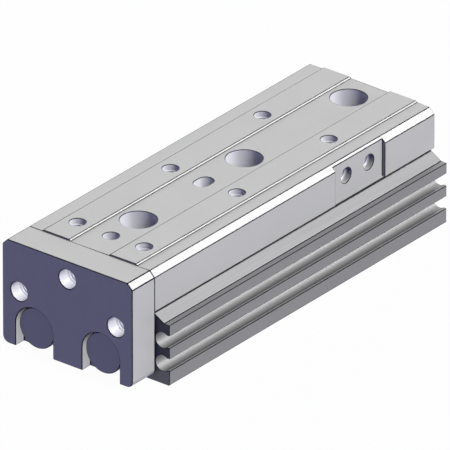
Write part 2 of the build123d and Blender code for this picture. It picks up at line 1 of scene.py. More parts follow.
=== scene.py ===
"""Looks of a compact pneumatic slide table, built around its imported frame.

Lengths are millimetres until they go into a mesh, a light or a material, where mm() turns them to
metres. X runs across the table, Y towards its rear and Z up, and the object stands on Z = 0.
"""

from __future__ import annotations

import json
import logging
import math
from dataclasses import dataclass, field, replace
from enum import Enum
from typing import Any

import bmesh
import bpy
import numpy as np
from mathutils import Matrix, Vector


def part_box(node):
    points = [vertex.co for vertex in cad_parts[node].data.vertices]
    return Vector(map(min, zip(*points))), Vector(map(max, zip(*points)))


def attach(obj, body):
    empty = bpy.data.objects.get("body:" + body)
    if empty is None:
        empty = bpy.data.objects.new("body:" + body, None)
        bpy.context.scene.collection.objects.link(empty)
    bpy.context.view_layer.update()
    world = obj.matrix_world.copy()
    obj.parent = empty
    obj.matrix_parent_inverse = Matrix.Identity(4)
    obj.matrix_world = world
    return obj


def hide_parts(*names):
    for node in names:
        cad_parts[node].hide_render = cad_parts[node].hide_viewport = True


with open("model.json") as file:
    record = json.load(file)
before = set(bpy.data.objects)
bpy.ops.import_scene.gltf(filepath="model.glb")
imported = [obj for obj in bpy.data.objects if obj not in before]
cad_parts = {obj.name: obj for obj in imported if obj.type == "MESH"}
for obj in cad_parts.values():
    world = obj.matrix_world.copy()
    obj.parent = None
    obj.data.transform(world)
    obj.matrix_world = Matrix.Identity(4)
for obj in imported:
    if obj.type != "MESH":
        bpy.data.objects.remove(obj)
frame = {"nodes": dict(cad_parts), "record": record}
LOG = logging.getLogger("slide_table")
BODIES = frame["record"]["behaviour"]["bodies"]
CARRIER = {node: body for body, nodes in BODIES.items() for node in nodes}  # of each CAD node
Triple = tuple[float, float, float]
Tree = bpy.types.NodeTree
Socket = bpy.types.NodeSocket

# Half the distance between the axes of the two bores, and their height, in millimetres.
BORE_OFFSET = 10.0
BORE_HEIGHT = 7.65

# Range in which the values of a noise crowd.
NOISE_LOW, NOISE_HIGH = 0.32, 0.68

# Sockets of a mix node, whose names repeat: the share, two numbers or two colours, and the results.
SHARE, NUMBER_A, NUMBER_B, COLOUR_A, COLOUR_B = 0, 2, 3, 6, 7
MIXED_NUMBER, MIXED_COLOUR = 0, 2

WHITE = "#FFFFFF"


class Side(Enum):
    """A side of the slide table, with the sign of its X."""

    LEFT = -1.0
    RIGHT = 1.0

    @property
    def word(self) -> str:
        """The side in a node's or piece's name."""
        return self.name.lower()


def mm(value: float) -> float:
    """Length in metres of a length in millimetres."""
    return value * 0.001


def linear(colour: str) -> tuple[float, float, float, float]:
    """Scene-linear colour of an sRGB hex value.

    Args:
        colour: Six hex digits after a hash sign.

    Returns:
        Red, green and blue as the shader nodes read them, and an alpha of 1.
    """
    shares = [int(colour[start:start + 2], 16) / 255 for start in (1, 3, 5)]
    turned = [c / 12.92 if c <= 0.04045 else ((c + 0.055) / 1.055) ** 2.4 for c in shares]
    return (*turned, 1.0)


def add(tree: Tree, kind: str, settings: dict[str, Any] | None = None,
        inputs: dict[str | int, Any] | None = None) -> bpy.types.Node:
    """Adds one node with its settings, and links or sets its inputs.

    Args:
        tree: Node tree that gets the node.
        kind: Name of the node's type.
        settings: Attributes of the node and their values.
        inputs: Socket names or places, each with a value or with the socket that feeds it.

    Returns:
        The new node.
    """
    node = tree.nodes.new(kind)
    for name, value in (settings or {}).items():
        setattr(node, name, value)
    for name, value in (inputs or {}).items():
        if isinstance(value, Socket):
            tree.links.new(value, node.inputs[name])
        else:
            node.inputs[name].default_value = value
    return node


def spread(tree: Tree, value: Socket) -> Socket:
    """Noise values, which crowd round their middle, spread evenly from 0 to 1."""
    return add(tree, "ShaderNodeMapRange", inputs={
        "Value": value, "From Min": NOISE_LOW, "From Max": NOISE_HIGH}).outputs["Result"]


def waves(tree: Tree, distance: Socket, feed: float) -> Socket:
    """Makes waves of the height (1 + sin(tau d / f)) / 2.

    Args:
        tree: Node tree of the material.
        distance: The distance d along which they follow each other, in metres.
        feed: The distance f from one wave to the next, in millimetres.

    Returns:
        Their height, from 0 to 1.
    """
    phase = add(tree, "ShaderNodeMath", {"operation": "MULTIPLY"}, {
        0: distance, 1: math.tau / mm(feed)})
    wave = add(tree, "ShaderNodeMath", {"operation": "SINE"}, {0: phase.outputs[0]})
    return add(tree, "ShaderNodeMapRange", inputs={
        "Value": wave.outputs[0], "From Min": -1.0}).outputs["Result"]


def fresh_tree(owner: bpy.types.Material | bpy.types.World) -> Tree:
    """Empty node tree of a material or world."""
    owner.use_nodes = True
    owner.node_tree.nodes.clear()
    return owner.node_tree


@dataclass(frozen=True)
class Finish:
    """A surface finish: its colours, its gloss and the fine marks of how it was made.

    Attributes:
        name: Name of the material.
        slot: The record's material slot that it belongs to; not used by the script.
        pale: Colour of the marks' high side, sRGB hex.
        deep: Colour of the marks' low side, sRGB hex.
        metallic: Share of the surface that shows bare metal.
        roughness: Roughness midway between high and low marks.
        roughness_spread: How far the roughness moves to each side.
        mark_size: Size of one mark along X, Y and Z, in millimetres.
        mark_height: Height of the marks, in millimetres.
        patch_size: Size of the broad, faint changes of tone, in millimetres.
        specular: Strength of the reflection on what isn't metal.
        across: How much wider a highlight spreads across lines that run along Y, from 0 to 1.
    """

    name: str
    slot: str
    pale: str
    deep: str
    metallic: float = 0.0
    roughness: float = 0.45
    roughness_spread: float = 0.04
    mark_size: Triple = (0.4, 0.4, 0.4)
    mark_height: float = 0.001
    patch_size: float = 14.0
    specular: float = 0.5
    across: float = 0.0

    MARK_DETAIL = 3.0  # octaves of the marks' noise
    MARK_GAIN = 0.6  # strength of each octave over the one before
    PATCH_DETAIL = 1.0  # octaves of the patches' noise
    PATCH_SHARE = 0.4  # share of the tone that the patches make up, the rest being marks

    def marks(self, tree: Tree, place: Socket) -> Socket:
        """Makes the fine marks: noise, stretched to the size of one mark.

        Args:
            tree: Node tree of the material.
            place: Place on the object.

        Returns:
            Their height, from 0 to 1.
        """
        scale = tuple(1 / mm(size) for size in self.mark_size)
        mapped = add(tree, "ShaderNodeMapping", inputs={"Vector": place, "Scale": scale})
        noise = add(tree, "ShaderNodeTexNoise", inputs={
            "Vector": mapped.outputs["Vector"], "Scale": 1.0, "Detail": self.MARK_DETAIL,
            "Roughness": self.MARK_GAIN})
        return spread(tree, noise.outputs["Fac"])

    def patches(self, tree: Tree, place: Socket) -> Socket:
        """Makes the broad changes of tone.

        Args:
            tree: Node tree of the material.
            place: Place on the object.

        Returns:
            The tone, from 0 to 1.
        """
        noise = add(tree, "ShaderNodeTexNoise", inputs={
            "Vector": place, "Scale": 1 / mm(self.patch_size), "Detail": self.PATCH_DETAIL})
        return spread(tree, noise.outputs["Fac"])

    def cover(self, tree: Tree, place: Socket, colour: Socket,
              rough: Socket) -> tuple[Socket, Socket]:
        """Colour and roughness after any painted shade line; there is none here."""
        return colour, rough

    def material(self) -> bpy.types.Material:
        """Makes the finish's material the first time that it is asked for.

        Its colour goes from deep to pale with the marks and patches, and its roughness falls as
        the marks rise.

        Returns:
            The material.
        """
        made = bpy.data.materials.get(self.name)
        if made is not None:
            return made
        made = bpy.data.materials.new(self.name)
        tree = fresh_tree(made)
        place = add(tree, "ShaderNodeTexCoord").outputs["Object"]
        marks = self.marks(tree, place)
        patches = self.patches(tree, place)
        tone = add(tree, "ShaderNodeMix", inputs={
            SHARE: self.PATCH_SHARE, NUMBER_A: marks, NUMBER_B: patches})
        colour = add(tree, "ShaderNodeMix", {"data_type": "RGBA"}, {
            SHARE: tone.outputs[MIXED_NUMBER], COLOUR_A: linear(self.deep),
            COLOUR_B: linear(self.pale)})
        rough = add(tree, "ShaderNodeMapRange", inputs={
            "Value": marks, "To Min": self.roughness + self.roughness_spread,
            "To Max": self.roughness - self.roughness_spread})
        bump = add(tree, "ShaderNodeBump", inputs={
            "Height": marks, "Distance": mm(self.mark_height), "Strength": 1.0})
        covered, dulled = self.cover(
            tree, place, colour.outputs[MIXED_COLOUR], rough.outputs["Result"])
        shader = add(tree, "ShaderNodeBsdfPrincipled", inputs={
            "Base Color": covered, "Metallic": self.metallic, "Roughness": dulled,
            "Specular IOR Level": self.specular, "Normal": bump.outputs["Normal"]})
        if self.across:
            around = add(tree, "ShaderNodeTangent", {"direction_type": "RADIAL", "axis": "Y"})
            shader.inputs["Anisotropic"].default_value = self.across
            tree.links.new(around.outputs["Tangent"], shader.inputs["Tangent"])
        add(tree, "ShaderNodeOutputMaterial", inputs={"Surface": shader.outputs["BSDF"]})
        return made


@dataclass(frozen=True)
class MilledFinish(Finish):
    """A face-milled surface: the cutter's arcs under an even anodised grain.

    Attributes:
        feed: Distance from one cutter arc to the next, in millimetres.
        cutter_radius: Radius of the arcs, in millimetres.
        arc_share: Share of the marks that the arcs make up, the rest being grain.
    """

    feed: float = 0.9
    cutter_radius: float = 40.0
    arc_share: float = 0.3

    def marks(self, tree: Tree, place: Socket) -> Socket:
        """Mixes grain with arcs: waves of y - x^2 / (2 r), a parabola near the arc's crown.

        Args:
            tree: Node tree of the material.
            place: Place on the object.

        Returns:
            The marks' height, from 0 to 1.
        """
        grain = super().marks(tree, place)
        parts = add(tree, "ShaderNodeSeparateXYZ", inputs={0: place})
        square = add(tree, "ShaderNodeMath", {"operation": "MULTIPLY"}, {
            0: parts.outputs["X"], 1: parts.outputs["X"]})
        bend = add(tree, "ShaderNodeMath", {"operation": "MULTIPLY_ADD"}, {
            0: square.outputs[0], 1: -0.5 / mm(self.cutter_radius), 2: parts.outputs["Y"]})
        arcs = waves(tree, bend.outputs[0], self.feed)
        mixed = add(tree, "ShaderNodeMix", inputs={
            SHARE: self.arc_share, NUMBER_A: grain, NUMBER_B: arcs})
        return mixed.outputs[MIXED_NUMBER]


@dataclass(frozen=True)
class ExtrudedFinish(Finish):
    """An extruded surface with a painted shade line on each shoulder, under the skirt's edge.

    Attributes:
        oil: Colour of the painted shade line, sRGB hex.
        oil_reach: Distance of the line's inner side from the middle, in millimetres.
        oil_floor: Height at which the line ends on the sloping shoulder, in millimetres.
        oil_roughness: Roughness of the line, high so that no highlight lifts its shade.
    """

    # Painted shade: a near-black line along the gap under the table's skirt.
    oil: str = "#0C0C0D"
    oil_reach: float = 18.72
    oil_floor: float = 17.78
    oil_roughness: float = 1.0

    def cover(self, tree: Tree, place: Socket, colour: Socket,
              rough: Socket) -> tuple[Socket, Socket]:
        """Paints the shade line where |x| is over the line's reach and z over its floor.

        Args:
            tree: Node tree of the material.
            place: Place on the object.
            colour: Colour of the clean surface.
            rough: Roughness of the clean surface.

        Returns:
            Colour and roughness of the surface with its painted shade line.
        """
        # Painted shade: dark and rough where the gap under the skirt lies, so no highlight lifts
        # it.
        parts = add(tree, "ShaderNodeSeparateXYZ", inputs={0: place})
        across = add(tree, "ShaderNodeMath", {"operation": "ABSOLUTE"}, {0: parts.outputs["X"]})
        outside = add(tree, "ShaderNodeMath", {"operation": "GREATER_THAN"}, {
            0: across.outputs[0], 1: mm(self.oil_reach)})
        above = add(tree, "ShaderNodeMath", {"operation": "GREATER_THAN"}, {
            0: parts.outputs["Z"], 1: mm(self.oil_floor)})
        in_gap_shade = add(tree, "ShaderNodeMath", {"operation": "MULTIPLY"}, {
            0: outside.outputs[0], 1: above.outputs[0]})
        covered = add(tree, "ShaderNodeMix", {"data_type": "RGBA"}, {
            SHARE: in_gap_shade.outputs[0], COLOUR_A: colour, COLOUR_B: linear(self.oil)})
        dulled = add(tree, "ShaderNodeMix", inputs={
            SHARE: in_gap_shade.outputs[0], NUMBER_A: rough, NUMBER_B: self.oil_roughness})
        return covered.outputs[MIXED_COLOUR], dulled.outputs[MIXED_NUMBER]


@dataclass(frozen=True)
class TurnedFinish(Finish):
    """A turned surface: fine rings round a lathe axis that runs along Y.

    Attributes:
        feed: Distance from one ring to the next, in millimetres.
        axis_x: Place of the axis across, in millimetres.
        axis_z: Height of the axis, in millimetres.
        ring_share: Share of the marks that the rings make up.
    """

    feed: float = 0.35
    axis_x: float = 0.0
    axis_z: float = BORE_HEIGHT
    ring_share: float = 0.6

    def marks(self, tree: Tree, place: Socket) -> Socket:
        """Mixes grain with rings: waves of the distance from the axis plus the place along it.

        Args:
            tree: Node tree of the material.
            place: Place on the object.

        Returns:
            The marks' height, from 0 to 1.
        """
        grain = super().marks(tree, place)
        centred = add(tree, "ShaderNodeMapping", inputs={
            "Vector": place, "Location": (-mm(self.axis_x), 0.0, -mm(self.axis_z))})
        parts = add(tree, "ShaderNodeSeparateXYZ", inputs={0: centred.outputs["Vector"]})
        flat = add(tree, "ShaderNodeCombineXYZ", inputs={
            "X": parts.outputs["X"], "Z": parts.outputs["Z"]})
        radius = add(tree, "ShaderNodeVectorMath", {"operation": "LENGTH"}, {
            0: flat.outputs["Vector"]})
        reach = add(tree, "ShaderNodeMath", {"operation": "ADD"}, {
            0: radius.outputs["Value"], 1: parts.outputs["Y"]})
        rings = waves(tree, reach.outputs[0], self.feed)
        mixed = add(tree, "ShaderNodeMix", inputs={
            SHARE: self.ring_share, NUMBER_A: grain, NUMBER_B: rings})
        return mixed.outputs[MIXED_NUMBER]


# Clear anodised aluminium, face milled: a pale matt metal, because the oxide film scatters most of
# the light. The cutter's arcs are drawn coarser than the real 0.1 mm so that they show.
MILLED_ALUMINIUM = MilledFinish(
    "milled_clear_anodised_aluminium", "table_aluminium", pale="#C4C4BF", deep="#BEBEB9",
    roughness=0.38, mark_size=(0.3, 0.3, 0.3), specular=0.4)

# Bored and reamed after anodising: bare bright walls, made paler and bluer as painted light.
BORED_AND_LIT_ALUMINIUM = Finish(
    "bored_aluminium", "table_aluminium", pale="#F2F2F6", deep="#E8E8EE", roughness=0.4,
    mark_size=(0.2, 0.2, 0.2), specular=0.4)

# Grey hard-anodised extrusion: long die lines along Y in a duller, darker film.
EXTRUDED_ALUMINIUM = ExtrudedFinish(
    "extruded_grey_anodised_aluminium", "anodised_body", pale="#757575", deep="#6D6D6D",
    roughness=0.40, mark_size=(0.35, 45.0, 0.35), mark_height=0.002, specular=0.68, across=0.95)

# Painted shade on the broken edges: a narrow dark band that draws a dark line along each edge.
PAINTED_EDGE_SHADE = Finish(
    "deburred_table_edge", "table_aluminium", pale="#222226", deep="#1B1B1F", roughness=0.6,
    mark_size=(0.5, 0.5, 0.5), specular=0.05)
PAINTED_BODY_EDGE_SHADE = replace(
    PAINTED_EDGE_SHADE, name="deburred_body_edge", slot="anodised_body", pale="#202023", deep="#18181B")

# Thread cut by a tap after anodising: bare bright aluminium flanks, made paler as painted light.
TAPPED_AND_LIT_ALUMINIUM = Finish(
    "tapped_aluminium", "table_aluminium", pale="#F0F0F6", deep="#E6E6EE",
    roughness=0.4, mark_size=(0.2, 0.2, 0.2))
TAPPED_BODY = Finish(
    "tapped_body_aluminium", "anodised_body", pale="#B4B4B8", deep="#A4A4A9", metallic=0.2,
    roughness=0.38, mark_size=(0.2, 0.2, 0.2))

# Hardened bearing steel, ground along the rail: fine straight lines and a cool sheen.
GROUND_STEEL = Finish(
    "ground_bearing_steel", "hardened_steel", pale="#A9ABAF", deep="#93969B", metallic=1.0,
    roughness=0.34, roughness_spread=0.06, mark_size=(0.25, 14.0, 0.25))

# Cold-headed alloy steel screws with a black oxide film, slightly oily.
BLACK_OXIDE = Finish(
    "black_oxide_screws", "black_screws", pale="#3A3A3D", deep="#232326", metallic=0.6,
    roughness=0.42, roughness_spread=0.08, mark_size=(0.25, 0.25, 0.25), mark_height=0.004)

# Stamped spring steel with a dark phosphate film.
SPRING_STEEL = Finish(
    "phosphated_spring_steel", "spring_steel", pale="#5C5D60", deep="#44454A", metallic=0.7,
    roughness=0.45, mark_size=(0.3, 0.3, 0.3), mark_height=0.003)

# Hard chrome plate, polished round the rod: the mirror is barely broken by polishing lines.
CHROMED_ROD = Finish(
    "hard_chromed_rod", "chromed_rod", pale="#BFC1C3", deep="#B0B2B5", metallic=1.0, roughness=0.1,
    roughness_spread=0.03, mark_size=(6.0, 0.2, 6.0), mark_height=0.0004)

# Moulded nitrile rubber seals: nearly black and matt.
NITRILE = Finish(
    "moulded_nitrile", "nitrile", pale="#2A2A2C", deep="#1C1C1E", roughness=0.62,
    mark_height=0.006)

# Cast polyurethane bumpers: amber brown with a soft gloss.
POLYURETHANE = Finish(
    "cast_polyurethane", "bumper_rubber", pale="#8A6B3A", deep="#755827", roughness=0.4,
    mark_size=(1.2, 1.2, 1.2), mark_height=0.004)

# Acetal strip of the wear rings: milky white and waxy.
ACETAL = Finish(
    "cut_acetal", "acetal", pale="#ECEAE2", deep="#DEDBD1", roughness=0.35,
    mark_size=(0.8, 0.8, 0.8), mark_height=0.002)

# Plastic-bonded ferrite: grey black with a fine sparkle of powder.
BONDED_FERRITE = Finish(
    "bonded_ferrite", "bonded_magnet", pale="#45454A", deep="#2E2E32", metallic=0.3, roughness=0.5,
    mark_size=(0.12, 0.12, 0.12), mark_height=0.004)

# Turned steel rod ends under a zinc flake coating: a matt silver paint more than bare metal.
FLAKE_COATED_STEEL = Finish(
    "zinc_flake_coated_steel", "nut_steel", pale="#C4C4BD", deep="#BABAB3",
    roughness=0.42, mark_size=(0.25, 0.25, 0.25), mark_height=0.002, specular=0.35)

# Etched stainless strip of the roller cages.
CAGE_STRIP = Finish(
    "etched_stainless_strip", "cage_steel", pale="#B9B7B0", deep="#A4A29C", metallic=1.0,
    roughness=0.34, mark_size=(0.2, 3.0, 0.2))

# Lapped bearing rollers: almost a mirror.
LAPPED_STEEL = Finish(
    "lapped_roller_steel", "roller_steel", pale="#CFD0D2", deep="#C0C1C4", metallic=1.0,
    roughness=0.14, roughness_spread=0.03, mark_size=(0.5, 0.5, 0.5), mark_height=0.0005)


def turned_aluminium(side: Side) -> TurnedFinish:
    """Turned aluminium, whose fine lathe rings run round the axis of one side's bore."""
    return TurnedFinish(
        f"turned_aluminium_{side.word}", "cover_aluminium", pale="#C4C4C5", deep="#B2B2B5",
        metallic=0.3, roughness=0.36, mark_size=(0.3, 0.3, 0.3), mark_height=0.002,
        axis_x=side.value * BORE_OFFSET)


def new_object(name: str, data: bpy.types.ID) -> bpy.types.Object:
    """New object at the origin, linked to the scene."""
    made = bpy.data.objects.new(name, data)
    bpy.context.scene.collection.objects.link(made)
    return made


def mesh_object(name: str, points: np.ndarray, faces: np.ndarray,
                smooth: bool = True) -> bpy.types.Object:
    """Makes an object at the origin from points in millimetres and faces of four points each.

    A closed surface that comes out inside out, by the sum of the volumes of the tetrahedra from
    the origin to its triangles, is turned round.

    Args:
        name: Name of the piece.
        points: Array of the shape (n, 3).
        faces: Array of the shape (m, 4).
        smooth: Whether its faces run into each other without a visible edge.

    Returns:
        The object.
    """
    a, b, c, d = (points[faces[:, corner]] for corner in range(4))
    volume = np.einsum("ij,ij->", a, np.cross(b, c)) + np.einsum("ij,ij->", a, np.cross(c, d))
    ordered = faces if volume > 0 else faces[:, ::-1]
    mesh = bpy.data.meshes.new(name)
    mesh.from_pydata(points * mm(1.0), [], ordered)
    mesh.polygons.foreach_set("use_smooth", np.full(len(faces), smooth))
    mesh.update()
    return new_object(name, mesh)


def wrapped_faces(rows: int, columns: int) -> np.ndarray:
    """Joins the points of a grid that closes on itself in both directions, as on a torus.

    Args:
        rows: Points in one direction.
        columns: Points in the other direction.

    Returns:
        The four point numbers of each face, as an array of the shape (rows * columns, 4).
    """
    number = np.arange(rows * columns).reshape(rows, columns)
    below, beside = np.roll(number, -1, axis=0), np.roll(number, -1, axis=1)
    across = np.roll(below, -1, axis=1)
    return np.stack([number, beside, across, below], axis=-1).reshape(-1, 4)


@dataclass(frozen=True)
class TappedHole:
    """The thread that a tap leaves inside a round hole.

    Attributes:
        name: Name of the piece.
        mouth: Middle of the hole's mouth, in millimetres.
        inwards: Unit vector from the mouth into the hole.
        size: Nominal diameter, in millimetres.
        pitch: Advance per turn, in millimetres.
        depth: Length from the mouth to the thread's end, in millimetres.
        entry: Smooth length at the mouth, in millimetres.
    """

    name: str
    mouth: Triple
    inwards: Triple
    size: float
    pitch: float
    depth: float
    entry: float = 1.5

    ROWS_PER_PITCH = 10  # rows of points to a turn
    COLUMNS = 40  # points round the hole
    SEAT = 0.03  # how far the sleeve stands off the hole's wall and floor, in millimetres
    HIDDEN = 0.05  # how far its ends reach into the metal, in millimetres
    FLANK_SHARE = 0.541  # height of a metric thread over its pitch
    WAVE_GAIN = 1.5  # steepness of its flanks over a plain triangle wave's
    WAVE_CUT = 0.25  # taken off that wave, so that root and crest come out flat

    def build(self) -> bpy.types.Object:
        """Makes the threaded sleeve as one closed surface.

        Its inner radius at depth t and angle a is R - h f(t) w(t / p - a / tau), where h is the
        thread's height, w a clipped triangle wave and f a fade over one pitch at each end. The
        first and last rows step out to just inside the metal, so the back never shows.

        Returns:
            The sleeve.
        """
        rows = int((self.depth - self.entry) / self.pitch * self.ROWS_PER_PITCH)
        depth = np.linspace(self.entry, self.depth - self.SEAT, rows)[:, None]
        angle = np.linspace(0, math.tau, self.COLUMNS, endpoint=False)[None, :]
        turn = (depth / self.pitch - angle / math.tau) % 1.0
        wave = np.clip(self.WAVE_GAIN * np.abs(2 * turn - 1) - self.WAVE_CUT, 0, 1)
        ends = np.minimum(depth - self.entry, self.depth - self.SEAT - depth)
        fade = np.clip(ends / self.pitch, 0, 1)
        radius = self.size / 2 - self.SEAT - self.FLANK_SHARE * self.pitch * fade * wave
        hidden = np.full((1, self.COLUMNS), self.size / 2 + self.HIDDEN)
        radius = np.vstack([hidden, radius, hidden])
        depth = np.vstack([depth[:1], depth, depth[-1:]])
        along = np.array(self.inwards)
        first = np.array([along[1], along[2], along[0]])
        second = np.cross(along, first)
        points = (np.array(self.mouth) + depth[..., None] * along
                  + (radius * np.cos(angle))[..., None] * first
                  + (radius * np.sin(angle))[..., None] * second)
        return mesh_object(self.name, points.reshape(-1, 3), wrapped_faces(rows + 2, self.COLUMNS))


@dataclass(frozen=True)
class Strip:
    """A straight strip along Y.

    Attributes:
        name: Name of the piece.
        low: Low corner of its box, in millimetres.
        high: High corner of its box, in millimetres.
        bevel: How far each of its edges is broken, in millimetres.
    """

    name: str
    low: Triple
    high: Triple
    bevel: float = 0.08

    CAP = ((0, 1, 2, 3), (0, 3, 4, 7), (4, 5, 6, 7))  # an end's eight points, as three faces

    def build(self) -> bpy.types.Object:
        """Makes the strip as one closed surface.

        Its section is the rectangle x0 to x1 by z0 to z1 with each corner cut back by b along both
        sides. It stands at y0 + b and y1 - b, and drawn in to the middle by b at y0 and y1.

        Returns:
            The strip.
        """
        (x0, y0, z0), (x1, y1, z1), cut = self.low, self.high, self.bevel
        section = np.array([
            (x0 + cut, z0), (x1 - cut, z0), (x1, z0 + cut), (x1, z1 - cut),
            (x1 - cut, z1), (x0 + cut, z1), (x0, z1 - cut), (x0, z0 + cut)])
        count = len(section)
        middle = np.array([(x0 + x1) / 2, (z0 + z1) / 2])
        drawn = section - cut * np.sign(section - middle)
        places = ((y0, drawn), (y0 + cut, section), (y1 - cut, section), (y1, drawn))
        points = np.vstack([np.insert(shape, 1, y, axis=1) for y, shape in places])
        ring = np.arange(count)
        band = np.stack([ring, np.roll(ring, -1), np.roll(ring, -1) + count, ring + count], axis=-1)
        last = (len(places) - 1) * count
        faces = [band + row * count for row in range(len(places) - 1)]
        caps = np.array(self.CAP)
        closed = np.vstack([*faces, caps[:, ::-1], caps + last])
        return mesh_object(self.name, points, closed, smooth=False)


class Edge(Enum):
    """How far an edge is broken, in millimetres."""

    FRONT = 0.2  # end plate and rod ends
    MACHINED = 0.15  # table and body
    FINE = 0.06  # rails, screws, rings and turned parts


@dataclass
class SubAssembly:
    """Pieces that are made and dressed together.

    Attributes:
        made: The pieces made so far.
    """

    made: list[bpy.types.Object] = field(default_factory=list, init=False)

    MERGE = 0.0008  # points closer than this are one, in millimetres
    FLAT = math.radians(0.5)  # faces that turn by less than this are joined
    CREASE = math.radians(28)  # edges that turn by more than this are broken
    CURVE = math.radians(17)  # edges that turn by less than this look round
    FACET = 1.2  # faces narrower than this look round, in millimetres
    NARROW = 0.7  # edges are broken less beside faces narrower than this, in millimetres,
    LONG = 10e-6  # and larger than this, in square metres,
    NARROW_SHARE = 0.5  # by this share
    BEVEL_SEGMENTS = 2  # faces across a broken edge
    BEVEL_PROFILE = 0.5  # its section, which is round at this value

    def dress(self, node: str, finish: Finish) -> None:
        """Gives a CAD node its finish and leaves its shape as it is.

        Args:
            node: Name of the CAD node.
            finish: Finish of its faces.
        """
        mesh = frame["nodes"][node].data
        mesh.materials.clear()
        mesh.materials.append(finish.material())
        LOG.info("dressed %s in %s", node, finish.name)

    def break_edges(self, node: str, finish: Finish, edge: Edge = Edge.FINE,
                    edge_finish: Finish | None = None) -> bpy.types.Object:
        """Stands a copy of a CAD node in its place, with its sharp edges taken off.

        The copy's loose triangles are merged, its flat faces are joined again, and a bevel takes
        off every edge that turns by more than the crease angle, and less of those beside a long
        narrow face. A face's width is 2 A / P, from its area and its edges' length. Faces narrower
        than a facet stay smooth, and wider ones are flat.

        Args:
            node: Name of the CAD node.
            finish: Finish of the faces.
            edge: How far the edges are broken.
            edge_finish: Finish of the broken edges, where it isn't that of the faces.

        Returns:
            The new piece.
        """
        name = f"{node}_finished"
        mesh = frame["nodes"][node].data.copy()
        mesh.name = name
        for imported in ("custom_normal", "sharp_edge", "sharp_face"):
            if imported in mesh.attributes:
                mesh.attributes.remove(mesh.attributes[imported])
        work = bmesh.new()
        work.from_mesh(mesh)
        bmesh.ops.remove_doubles(work, verts=work.verts, dist=mm(self.MERGE))
        bmesh.ops.dissolve_limit(work, angle_limit=self.FLAT, verts=work.verts, edges=work.edges)
        for face in work.faces:
            face.material_index = 0
        self.bevel(work, mm(edge.value) * self.NARROW_SHARE, only_narrow=True)
        self.bevel(work, mm(edge.value), only_narrow=False)
        smooth = [self.is_narrower(face, self.FACET) for face in work.faces]
        mesh.materials.clear()
        for each in (finish, edge_finish or finish):
            mesh.materials.append(each.material())
        work.to_mesh(mesh)
        work.free()
        mesh.set_sharp_from_angle(angle=self.CURVE)
        mesh.polygons.foreach_set("use_smooth", smooth)
        return self.fit(new_object(name, mesh), CARRIER[node], replaced=node)

    def is_narrower(self, face: bmesh.types.BMFace, width: float) -> bool:
        """Whether a face is narrower than a width in millimetres."""
        return 2 * face.calc_area() < mm(width) * face.calc_perimeter()

    def bevel(self, work: bmesh.types.BMesh, offset: float, only_narrow: bool) -> None:
        """Bevels the sharp edges that no bevel has taken off yet.

        Args:
            work: The mesh.
            offset: How far each edge is broken, in metres.
            only_narrow: Whether only the edges beside a long narrow face are taken.
        """
        chosen = []
        for each in work.edges:
            if not each.is_manifold or any(face.material_index for face in each.link_faces):
                continue
            beside_narrow = any(self.is_narrower(face, self.NARROW) and face.calc_area() > self.LONG
                                for face in each.link_faces)
            if each.calc_face_angle() > self.CREASE and (beside_narrow or not only_narrow):
                chosen.append(each)
        bmesh.ops.bevel(work, geom=chosen, offset=offset, offset_type="OFFSET",
                        segments=self.BEVEL_SEGMENTS, profile=self.BEVEL_PROFILE, affect="EDGES",
                        clamp_overlap=False, material=1)

    def add_piece(self, shape: TappedHole | Strip, body: str, finish: Finish) -> bpy.types.Object:
        """Makes a thread or a strip and lets it ride on a body.

        Args:
            shape: The thread or strip.
            body: Name of the body.
            finish: Its finish.

        Returns:
            The new piece.
        """
        made = shape.build()
        made.data.materials.append(finish.material())
        return self.fit(made, body)

    def fit(self, piece: bpy.types.Object, body: str,
            replaced: str = "") -> bpy.types.Object:
        """Lets a piece ride on a body and hides the CAD node that it stands for.

        Args:
            piece: The piece.
            body: Name of the body.
            replaced: Name of the CAD node, or nothing where the piece is an addition.

        Returns:
            The same piece.
        """
        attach(piece, body)
        if replaced:
            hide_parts(replaced)
        self.made.append(piece)
        LOG.info("made %s on %s, %d faces", piece.name, body, len(piece.data.polygons))
        return piece


